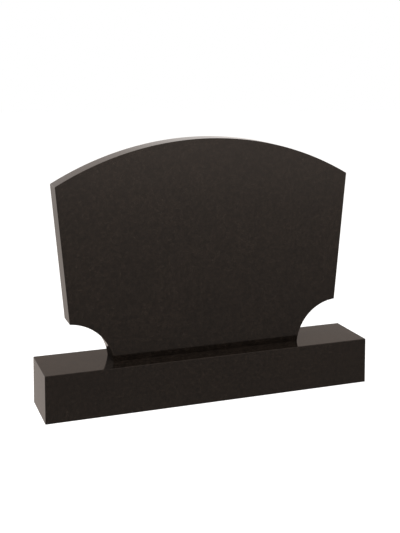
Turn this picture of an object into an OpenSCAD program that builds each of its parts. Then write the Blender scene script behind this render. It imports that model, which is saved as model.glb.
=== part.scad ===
// Arched headstone of polished stone: an upright slab on a plain rectangular plinth.
// X runs along the plinth, Y from front to back, Z up. The origin is the middle of the plinth's underside.

/* [Slab] */
// Width of the slab across its shoulders
slab_width = 1000; // [700:10:1400]
// Height of the slab from the plinth to the crown of its arch
slab_height = 700; // [500:10:1000]
// Thickness of the slab from front to back
slab_thickness = 80; // [50:5:150]
// Height of the arch from the shoulders up to its crown
arch_rise = 134; // [60:2:200]
// How far each side leans in between the shoulder and the lower corner
side_lean = 41; // [0:1:80]

/* [Lower cuts] */
// Height of the slab's lower corners above the plinth
cut_height = 133; // [90:1:180]
// How far each cut runs in from the lower corner to the neck
cut_reach = 139; // [90:1:190]
// How far the hollow of each cut bows away from a straight line between its ends
cut_bow = 35; // [15:1:50]

/* [Plinth] */
// Height of the plinth
plinth_height = 150; // [80:5:250]
// How far the plinth runs past the slab's shoulders at each end
end_overhang = 50; // [0:5:150]
// Depth of the ledge in front of the slab, and of the one behind it
ledge_depth = 60; // [20:5:120]

/* [Edges] */
// Width of the small bevel that takes the sharpness off the polished edges
arris = 2; // [1:0.5:5]

/* [Hidden] */
$fn = 180;

// How far a cutting shape runs past the stone that it trims
clearance = 10;

// Right-hand outline of the slab, seen from the front: shoulder, lower corner and neck
shoulder = [slab_width / 2, plinth_height + slab_height - arch_rise];
corner = [shoulder.x - side_lean, plinth_height + cut_height];
neck = [corner.x - cut_reach, plinth_height];

// The arch is one circle through both shoulders and the crown
arch_radius = (shoulder.x ^ 2 + arch_rise ^ 2) / (2 * arch_rise);
arch_centre_z = plinth_height + slab_height - arch_radius;

// Each cut is one circle through the lower corner and the neck
cut_chord = norm(corner - neck);
cut_radius = (cut_chord ^ 2 / 4 + cut_bow ^ 2) / (2 * cut_bow);
cut_outward = [corner.y - neck.y, neck.x - corner.x] / cut_chord;
cut_centre = (corner + neck) / 2 + (cut_radius - cut_bow) * cut_outward;

side_angle = atan2(side_lean, shoulder.y - corner.y);
slab_reach = 2 * norm([slab_width, slab_height]);

plinth_length = slab_width + 2 * end_overhang;
plinth_depth = slab_thickness + 2 * ledge_depth;

// Round shape lying with its axis from front to back
module facing_front(centre) {
  translate([centre.x, 0, centre.y]) rotate([90, 0, 0]) rotate_extrude() children();
}

// Disc as thick as the slab, whose rim is the arch
module arch_disc() {
  half = slab_thickness / 2;
  facing_front([0, arch_centre_z])
    polygon([[0, -half], [arch_radius, -half], [arch_radius, half], [0, half]]);
}

// Ring whose sloping inner face bevels the edge between the arch and the slab's front
module arch_bevel() {
  half = slab_thickness / 2;
  rim = arch_radius + clearance;
  past = half + clearance;
  slope = arris + 2 * clearance;
  facing_front([0, arch_centre_z])
    polygon([[rim, past - slope], [rim, past], [rim - slope, past]]);
}

// Leaning block whose outer face is the slab's right-hand side
module side_block() {
  half = slab_thickness / 2;
  translate([shoulder.x, 0, shoulder.y]) rotate([0, side_angle, 0])
    linear_extrude(height = 2 * slab_reach, center = true)
      polygon([
        [-slab_reach, -half], [-arris, -half], [0, arris - half],
        [0, half - arris], [-arris, half], [-slab_reach, half]
      ]);
}

// Everything above the plinth
module above_plinth() {
  translate([-slab_reach, -slab_thickness, plinth_height])
    cube([2 * slab_reach, 2 * slab_thickness, slab_reach]);
}

// Round cutter for the right-hand lower cut, flared at both faces to bevel the edges it leaves
module lower_cut() {
  half = slab_thickness / 2;
  past = half + clearance;
  flare = cut_radius + arris + clearance;
  facing_front(cut_centre)
    polygon([
      [0, -past], [flare, -past], [cut_radius, arris - half],
      [cut_radius, half - arris], [flare, past], [0, past]
    ]);
}

module slab() {
  color([0.16, 0.14, 0.13])
    difference() {
      intersection() {
        arch_disc();
        side_block();
        mirror([1, 0, 0]) side_block();
        above_plinth();
      }
      arch_bevel();
      mirror([0, 1, 0]) arch_bevel();
      lower_cut();
      mirror([1, 0, 0]) lower_cut();
    }
}

// Outline standing on the ground line, with both top corners bevelled
module bevelled_end(width, height) {
  polygon([
    [-width / 2, 0], [width / 2, 0], [width / 2, height - arris],
    [width / 2 - arris, height], [arris - width / 2, height], [-width / 2, height - arris]
  ]);
}

// Outline with all four corners bevelled
module bevelled_plan(width, depth) {
  x = width / 2;
  y = depth / 2;
  polygon([
    [arris - x, -y], [x - arris, -y], [x, arris - y], [x, y - arris],
    [x - arris, y], [arris - x, y], [-x, y - arris], [-x, arris - y]
  ]);
}

module plinth() {
  color([0.19, 0.17, 0.16])
    intersection() {
      linear_extrude(height = plinth_height)
        bevelled_plan(plinth_length, plinth_depth);
      rotate([90, 0, 0]) linear_extrude(height = plinth_depth, center = true)
        bevelled_end(plinth_length, plinth_height);
      rotate([90, 0, 90]) linear_extrude(height = plinth_length, center = true)
        bevelled_end(plinth_depth, plinth_height);
    }
}

slab();
plinth();
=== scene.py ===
import math

import bmesh
import bpy
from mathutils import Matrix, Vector


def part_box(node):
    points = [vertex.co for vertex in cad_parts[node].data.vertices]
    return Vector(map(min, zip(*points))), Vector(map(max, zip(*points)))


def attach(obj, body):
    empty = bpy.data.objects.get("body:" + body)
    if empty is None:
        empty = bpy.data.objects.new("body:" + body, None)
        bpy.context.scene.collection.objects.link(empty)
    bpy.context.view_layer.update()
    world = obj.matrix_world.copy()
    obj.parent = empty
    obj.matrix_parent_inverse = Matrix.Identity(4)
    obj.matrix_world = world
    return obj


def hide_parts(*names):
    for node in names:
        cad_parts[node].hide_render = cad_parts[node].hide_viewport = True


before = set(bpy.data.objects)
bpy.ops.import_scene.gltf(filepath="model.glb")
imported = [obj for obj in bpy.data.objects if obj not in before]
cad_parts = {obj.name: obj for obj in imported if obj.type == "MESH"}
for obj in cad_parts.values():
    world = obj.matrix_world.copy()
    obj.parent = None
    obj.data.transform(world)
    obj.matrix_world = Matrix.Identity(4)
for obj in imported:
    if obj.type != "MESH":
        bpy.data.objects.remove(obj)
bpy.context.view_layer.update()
print("frame loaded:", ", ".join(sorted(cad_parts)))


def newMaterial(name):
    mat = bpy.data.materials.new(name)
    mat.use_nodes = True
    mat.node_tree.nodes.clear()
    return mat, mat.node_tree


def addNode(tree, kind, sockets, **settings):
    # a socket is given a plain value or another node's output
    node = tree.nodes.new("ShaderNode" + kind)
    for setting, value in settings.items():
        setattr(node, setting, value)
    for socket, given in sockets.items():
        if isinstance(given, bpy.types.NodeSocket):
            tree.links.new(given, node.inputs[socket])
        else:
            node.inputs[socket].default_value = given
    return node


def ramp(tree, source, stops):
    # colour ramp from (place, colour) stops, lowest first
    node = addNode(tree, "ValToRGB", {"Fac": source})
    bar = node.color_ramp
    for end, (place, colour) in zip(bar.elements, (stops[0], stops[-1])):
        end.position = place
        end.color = (*colour, 1)
    for place, colour in stops[1:-1]:
        bar.elements.new(place).color = (*colour, 1)
    return node.outputs["Color"]


def mixColours(tree, share, one, other, blend="MIX"):
    # the colour sockets share their names with other kinds of mix, so they go by number
    node = addNode(tree, "Mix", {0: share, 6: one, 7: other}, data_type="RGBA", blend_type=blend)
    return node.outputs[2]


def remap(tree, source, given, wanted, **settings):
    # brings a value from the range it is given in to the range that is wanted
    node = addNode(tree, "MapRange", {
        "Value": source, "From Min": given[0], "From Max": given[1],
        "To Min": wanted[0], "To Max": wanted[1]}, **settings)
    return node.outputs["Result"]


stone = {
    "crystals": 800,  # per metre
    "colours": [  # of the crystals from dark to light, each with the share of them that is darker
        (0.00, (0.0015, 0.0012, 0.0010)),
        (0.40, (0.0055, 0.0041, 0.0033)),  # the mass of the stone is this and the next
        (0.76, (0.0055, 0.0041, 0.0033)),
        (0.93, (0.0108, 0.0078, 0.0059)),
        (1.00, (0.0160, 0.0136, 0.0113))],
    "mottles": 90,  # per metre
    "mottle": [(0.36, (0.66, 0.66, 0.66)), (0.64, (1.38, 1.35, 1.32))],  # darker and lighter patches
    "clouds": 5,  # per metre
    "drift": [(0.30, (0.85, 0.86, 0.88)), (0.70, (1.15, 1.12, 1.08))],  # slow change of tone
    "patchDetail": 4,
    "polish": (0.06, 0.10),  # roughness from the hard crystals to the soft ones
    "pits": (0.04, 0.0002),  # strength and depth
    "ior": 1.5,
}


def dress(tree, colour, roughness, height, relief):
    # stone shader from its patterns
    strength, depth = relief
    bump = addNode(tree, "Bump", {"Height": height, "Strength": strength, "Distance": depth})
    shader = addNode(tree, "BsdfPrincipled", {
        "Base Color": colour, "Roughness": roughness, "IOR": stone["ior"], "Normal": bump.outputs["Normal"]})
    addNode(tree, "OutputMaterial", {"Surface": shader.outputs["BSDF"]})


def polishedStone(name, shift):
    # shift moves the pattern, so that two blocks don't share one grain
    mat, tree = newMaterial(name)
    place = addNode(tree, "TexCoord", {}).outputs["Object"]
    where = addNode(tree, "Mapping", {"Vector": place, "Location": shift}).outputs["Vector"]
    crystals = addNode(tree, "TexVoronoi", {"Vector": where, "Scale": stone["crystals"]})
    # three random values for each crystal
    each = addNode(tree, "SeparateColor", {"Color": crystals.outputs["Color"]}).outputs

    colour = ramp(tree, each["Red"], stone["colours"])
    for scale, stops in ((stone["mottles"], stone["mottle"]), (stone["clouds"], stone["drift"])):
        noise = addNode(tree, "TexNoise", {"Vector": where, "Scale": scale, "Detail": stone["patchDetail"]})
        patches = ramp(tree, noise.outputs["Fac"], stops)
        colour = mixColours(tree, 1, colour, patches, blend="MULTIPLY")

    roughness = remap(tree, each["Green"], (0, 1), stone["polish"])
    dress(tree, colour, roughness, each["Blue"], stone["pits"])
    return mat


sawn = {
    "grit": 700,  # per metre
    "colours": [(0.35, (0.055, 0.052, 0.050)), (0.65, (0.105, 0.100, 0.095))],
    "roughness": (0.62, 0.80),
    "bladeMarks": 55,  # scale of the wave, which gives about 175 marks per metre
    "wander": 3,  # how much the blade marks stray from straight
    "markDetail": 3,
    "ridges": (0.5, 0.0004),  # strength and depth
}


def sawnStone(name):
    # the underside, as the saw left it
    mat, tree = newMaterial(name)
    place = addNode(tree, "TexCoord", {}).outputs["Object"]
    marks = addNode(tree, "TexWave", {
        "Vector": place, "Scale": sawn["bladeMarks"], "Distortion": sawn["wander"],
        "Detail": sawn["markDetail"]}, bands_direction="X")
    grit = addNode(tree, "TexNoise", {"Vector": place, "Scale": sawn["grit"]}).outputs["Fac"]
    roughness = remap(tree, grit, (0, 1), sawn["roughness"])
    dress(tree, ramp(tree, grit, sawn["colours"]), roughness, marks.outputs["Fac"], sawn["ridges"])
    return mat


underside = sawnStone("sawnUnderside")
print("stone finishes made")


def meshObject(name, bm, *finishes):
    mesh = bpy.data.meshes.new(name)
    bm.to_mesh(mesh)
    bm.free()
    for finish in finishes:
        mesh.materials.append(finish)
    thing = bpy.data.objects.new(name, mesh)
    bpy.context.scene.collection.objects.link(thing)
    return thing


easing = {
    "foldFrom": math.radians(25),  # an edge that turns further than this is an arris
    "segments": 4,
    "hair": 1e-6,  # as good as level with the foot
}


def stoneBlock(name, outline, depths, arris, finish):
    # closed block from an outline in X and Z, cut from depths[0] back to depths[1]
    bm = bmesh.new()
    front = [bm.verts.new((x, depths[0], z)) for x, z in outline]
    back = [bm.verts.new((x, depths[1], z)) for x, z in outline]
    bm.faces.new(front)
    bm.faces.new(reversed(back))
    for i in range(len(outline)):
        bm.faces.new((front[i - 1], back[i - 1], back[i], front[i]))
    bmesh.ops.recalc_face_normals(bm, faces=bm.faces)

    foot = min(z for x, z in outline)

    def standing(part):
        return all(abs(v.co.z - foot) < easing["hair"] for v in part.verts)

    # every arris is eased but those of the underside, and the facets of a curve run together
    weight = bm.edges.layers.float.new("bevel_weight_edge")
    for edge in bm.edges:
        edge.smooth = not standing(edge)
        if edge.calc_face_angle() > easing["foldFrom"] and not standing(edge):
            edge[weight] = 1
    for face in bm.faces:
        face.smooth = True
        face.material_index = int(standing(face))

    piece = meshObject(name, bm, finish, underside)
    ease = piece.modifiers.new("easedEdges", "BEVEL")
    ease.limit_method = "WEIGHT"
    ease.width = arris
    ease.segments = easing["segments"]
    ease.harden_normals = True
    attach(piece, "root")
    return piece


slab = {
    "archRise": 0.134,  # from the shoulders up to the crown
    "sideLean": 0.041,  # how far each side comes in on its way down
    "cutHeight": 0.133,  # lower corners above the plinth
    "cutReach": 0.139,  # from a lower corner in to the neck
    "cutBow": 0.035,  # how deep the hollow is against a straight line
    "archSteps": 96,
    "cutSteps": 40,
    "arris": 0.0018,
    "grainShift": (0, 0, 0),
}


def throughEnds(start, end, bow, steps):
    # points on the arc from start to end that bows out to the left of the way by bow
    way = end - start
    side = Vector((-way.y, way.x)).normalized()
    radius = ((way.length / 2) ** 2 + bow ** 2) / (2 * bow)
    centre = (start + end) / 2 - side * (radius - bow)
    first = start - centre
    swing = -2 * math.asin(way.length / 2 / radius)
    made = []
    for i in range(steps + 1):
        turn = swing * i / steps
        made.append(centre + Vector((
            first.x * math.cos(turn) - first.y * math.sin(turn),
            first.x * math.sin(turn) + first.y * math.cos(turn))))
    return made


def slabOutline():
    # clockwise as seen from the front, from the left shoulder
    low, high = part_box("slab")
    shoulder = Vector((high.x, high.z - slab["archRise"]))
    corner = Vector((high.x - slab["sideLean"], low.z + slab["cutHeight"]))
    neck = Vector((corner.x - slab["cutReach"], low.z))
    arch = throughEnds(Vector((-shoulder.x, shoulder.y)), shoulder, slab["archRise"], slab["archSteps"])
    cut = throughEnds(neck, corner, slab["cutBow"], slab["cutSteps"])
    otherCut = [Vector((-p.x, p.y)) for p in cut]
    return arch + cut[::-1] + otherCut


low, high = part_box("slab")
slabStone = polishedStone("slabStone", slab["grainShift"])
slabPiece = stoneBlock("upright_slab", slabOutline(), (low.y, high.y), slab["arris"], slabStone)
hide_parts("slab")
print("slab made")


plinth = {
    "arris": 0.0018,
    "grainShift": (3.1, 1.7, 0.6),
}

low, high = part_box("plinth")
plinthStone = polishedStone("plinthStone", plinth["grainShift"])
ends = [(low.x, low.z), (low.x, high.z), (high.x, high.z), (high.x, low.z)]
plinthPiece = stoneBlock("plinth_block", ends, (low.y, high.y), plinth["arris"], plinthStone)
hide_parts("plinth")
print("plinth made")


studio = {
    "radius": 14,
    "floorSides": 96,
    "floorGap": 0.0005,  # keeps the floor off the underside
    "floorTint": (0.20, 0.20, 0.20),
    "floorRoughness": 0.9,
    "floorGlow": 0.92,  # pale by its own light, so that no shadow greys it
    "roomFacets": (64, 32),
    "white": (1, 1, 1),
    # the walls that the stone mirrors, ahead of its front and behind its back
    # each stop is the height of the direction, the brightness, and the way from warm to white
    "ahead": [
        (-0.31, 0.28, 0), (-0.23, 0.37, 0), (-0.17, 0.48, 0),
        (-0.10, 0.80, 0), (0.00, 0.90, 0), (0.25, 0.50, 0)],
    "behind": [
        (-0.36, 0.54, 0.20), (-0.20, 0.51, 0.30), (-0.10, 0.55, 0.35), (0.02, 1.00, 0.60),
        (0.10, 0.92, 0.60), (0.16, 0.88, 0.55), (0.21, 0.74, 0.45),
        (0.25, 0.55, 0.30), (0.29, 0.43, 0), (0.33, 0.39, 0)],
    "warmth": (1.0, 0.84, 0.74),
    "heights": (-0.5, 0.5),  # of the directions that the stops may have
    "turn": (-0.5, 0.3),  # where, from front to back, the one wall passes into the other
    "secondMirror": 0.25,  # what is mirrored in a mirrored face is dimmer
    "lampPlace": (-1.2, -1.0, 4.1),
    "lampSize": 4,
    "lampPower": 430,
}


def makeFloor():
    mat, tree = newMaterial("paleFloor")
    shader = addNode(tree, "BsdfPrincipled", {
        "Base Color": (*studio["floorTint"], 1), "Roughness": studio["floorRoughness"],
        "Emission Color": (*studio["white"], 1), "Emission Strength": studio["floorGlow"]})
    addNode(tree, "OutputMaterial", {"Surface": shader.outputs["BSDF"]})
    bm = bmesh.new()
    bmesh.ops.create_circle(bm, cap_ends=True, segments=studio["floorSides"], radius=studio["radius"])
    floor = meshObject("floor", bm, mat)
    floor.location.z = -studio["floorGap"]
    floor.visible_glossy = False
    return floor


def makeRoom():
    # white room behind everything, which only the camera sees
    mat, tree = newMaterial("whiteRoom")
    glow = addNode(tree, "Emission", {"Color": (*studio["white"], 1), "Strength": 1})
    addNode(tree, "OutputMaterial", {"Surface": glow.outputs["Emission"]})
    bm = bmesh.new()
    around, upwards = studio["roomFacets"]
    bmesh.ops.create_uvsphere(bm, u_segments=around, v_segments=upwards, radius=studio["radius"])
    room = meshObject("backdrop", bm, mat)
    room.visible_diffuse = room.visible_glossy = room.visible_shadow = False
    return room


def wallRamp(tree, height, wall):
    lowest, highest = studio["heights"]
    stops = []
    for z, bright, whiteness in wall:
        tint = [bright * (warm + (1 - warm) * whiteness) for warm in studio["warmth"]]
        stops.append(((z - lowest) / (highest - lowest), tint))
    return ramp(tree, height, stops)


def makeSurroundings():
    # what lights the stone from all round, and what its polish mirrors
    world = bpy.data.worlds.new("studio")
    bpy.context.scene.world = world
    world.use_nodes = True
    tree = world.node_tree
    tree.nodes.clear()
    outwards = addNode(tree, "TexCoord", {}).outputs["Generated"]
    direction = addNode(tree, "SeparateXYZ", {"Vector": outwards}).outputs
    height = remap(tree, direction["Z"], studio["heights"], (0, 1))
    turn = remap(tree, direction["Y"], studio["turn"], (0, 1), interpolation_type="SMOOTHSTEP")
    ahead, behind = (wallRamp(tree, height, studio[wall]) for wall in ("ahead", "behind"))
    mirrored = addNode(tree, "LightPath", {}).outputs["Glossy Depth"]
    light = addNode(tree, "Background", {
        "Color": mixColours(tree, turn, ahead, behind),
        "Strength": remap(tree, mirrored, (1, 2), (1, studio["secondMirror"]))})
    addNode(tree, "OutputWorld", {"Surface": light.outputs["Background"]})


def makeLamp():
    lamp = bpy.data.lights.new("softbox", "AREA")
    lamp.size = studio["lampSize"]
    lamp.energy = studio["lampPower"]
    holder = bpy.data.objects.new("softbox", lamp)
    holder.location = studio["lampPlace"]
    holder.rotation_euler = (-Vector(studio["lampPlace"])).to_track_quat("-Z", "Y").to_euler()
    holder.visible_glossy = False
    holder.visible_camera = False
    bpy.context.scene.collection.objects.link(holder)


camera = {
    "place": (-1.054, -2.871, 1.138),
    "turn": 19.89,  # degrees to the right of straight ahead
    "tip": 5.14,  # degrees down
    "lens": 63.84,
    "shift": -0.25,  # keeps the uprights nearly upright, as a view camera does
}


def makeCamera():
    data = bpy.data.cameras.new("camera")
    data.lens = camera["lens"]
    data.shift_y = camera["shift"]
    eye = bpy.data.objects.new("camera", data)
    eye.location = camera["place"]
    eye.rotation_euler = (math.radians(90 - camera["tip"]), 0, -math.radians(camera["turn"]))
    bpy.context.scene.collection.objects.link(eye)
    bpy.context.scene.camera = eye


for thing in (makeFloor(), makeRoom()):
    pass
makeSurroundings()
makeLamp()
makeCamera()
bpy.context.scene.view_settings.view_transform = "Standard"
print("stage, light and camera made")
